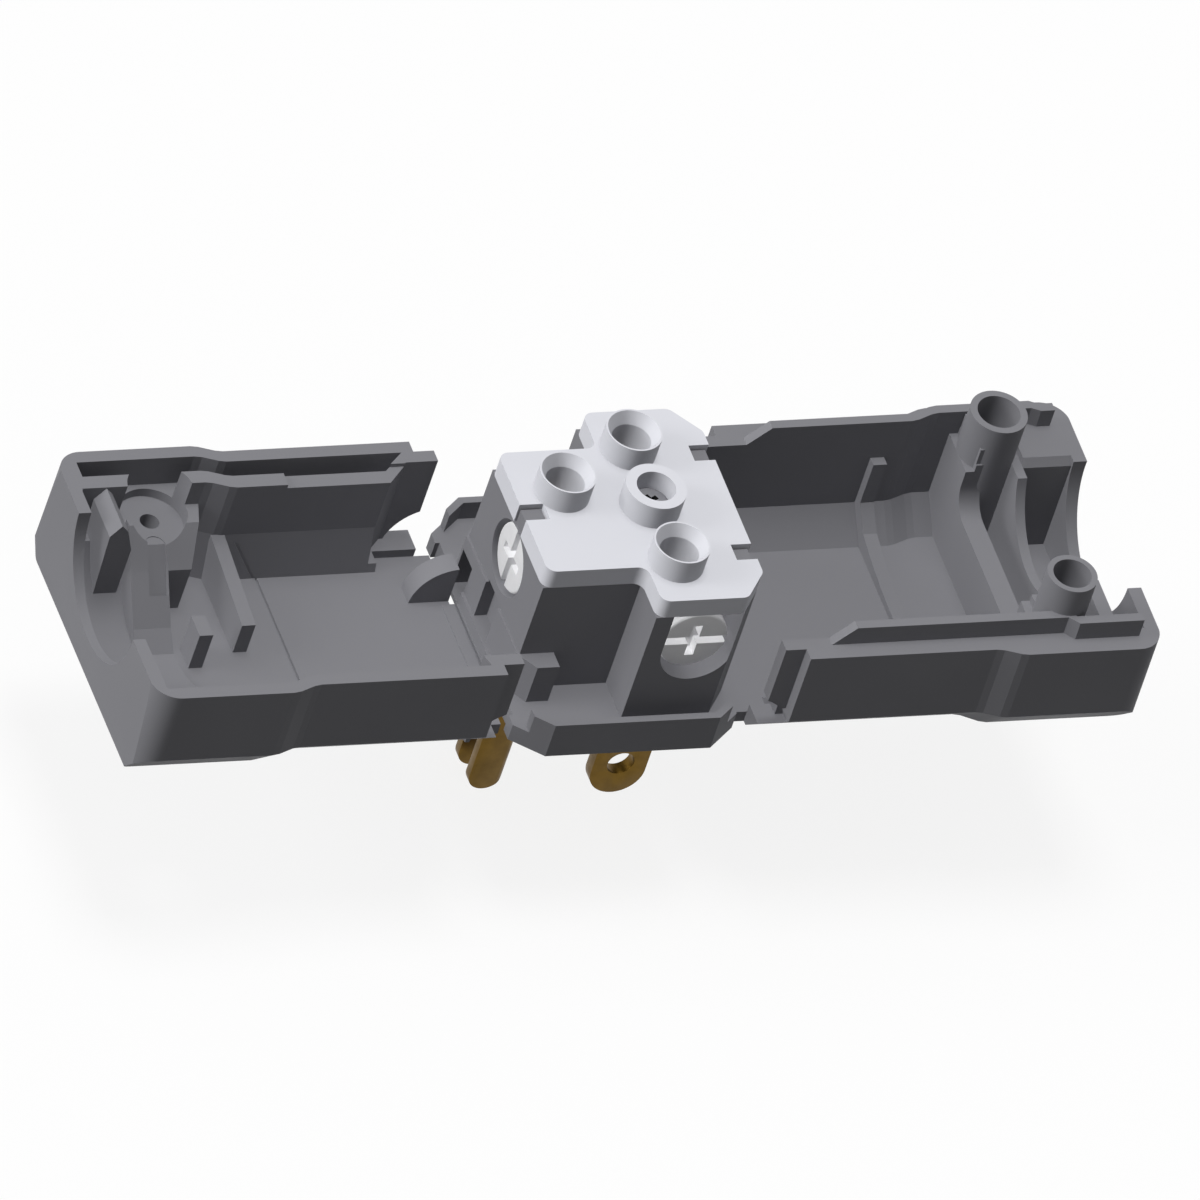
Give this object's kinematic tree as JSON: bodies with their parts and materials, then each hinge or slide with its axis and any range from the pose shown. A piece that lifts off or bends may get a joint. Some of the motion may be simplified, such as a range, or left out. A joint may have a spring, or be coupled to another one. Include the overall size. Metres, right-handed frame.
{
  "type": "rewireable power plug",
  "caption": "Rewireable flat-blade earthed power plug shown open, with a wire cover over its terminals and two shells that swing shut on film hinges.",
  "frame": {"origin": "on the flange's mating face, on the mirror plane between the two line blades, midway between the two hinge axes", "axes": "+X towards the right-hand shell, +Y away from the viewer, +Z out of the mating face towards the wiring side; the blades point along -Z"},
  "size_m": [0.118, 0.037, 0.0435],
  "materials": {
    "grey_plastic": "smooth mid grey",
    "cover_plastic": "smooth off-white",
    "contact_brass": "bare brass, lightly tarnished",
    "plated_steel": "bright zinc plate"
  },
  "bodies": {
    "plug_base": {"base": "grey_plastic", "wire_cover": "cover_plastic", "near_blade": "contact_brass", "far_blade": "contact_brass", "ground_pin": "contact_brass", "near_terminal_screw": "plated_steel", "far_terminal_screw": "plated_steel", "ground_terminal_screw": "plated_steel", "near_clamp_plate": "plated_steel", "far_clamp_plate": "plated_steel", "ground_clamp_plate": "plated_steel", "cover_screw": "plated_steel"},
    "left_cover": {"left_shell": "grey_plastic"},
    "right_cover": {"right_shell": "grey_plastic"}
  },
  "joints": [
    {"name": "left_shell_hinge", "type": "hinge", "parent": "plug_base", "child": "left_cover", "pos_m": [-0.01315, 0, 0.0004], "axis": [0, 1, 0], "range_deg": [0, 90]},
    {"name": "right_shell_hinge", "type": "hinge", "parent": "plug_base", "child": "right_cover", "pos_m": [0.01315, 0, 0.0004], "axis": [0, -1, 0], "range_deg": [0, 90]}
  ]
}
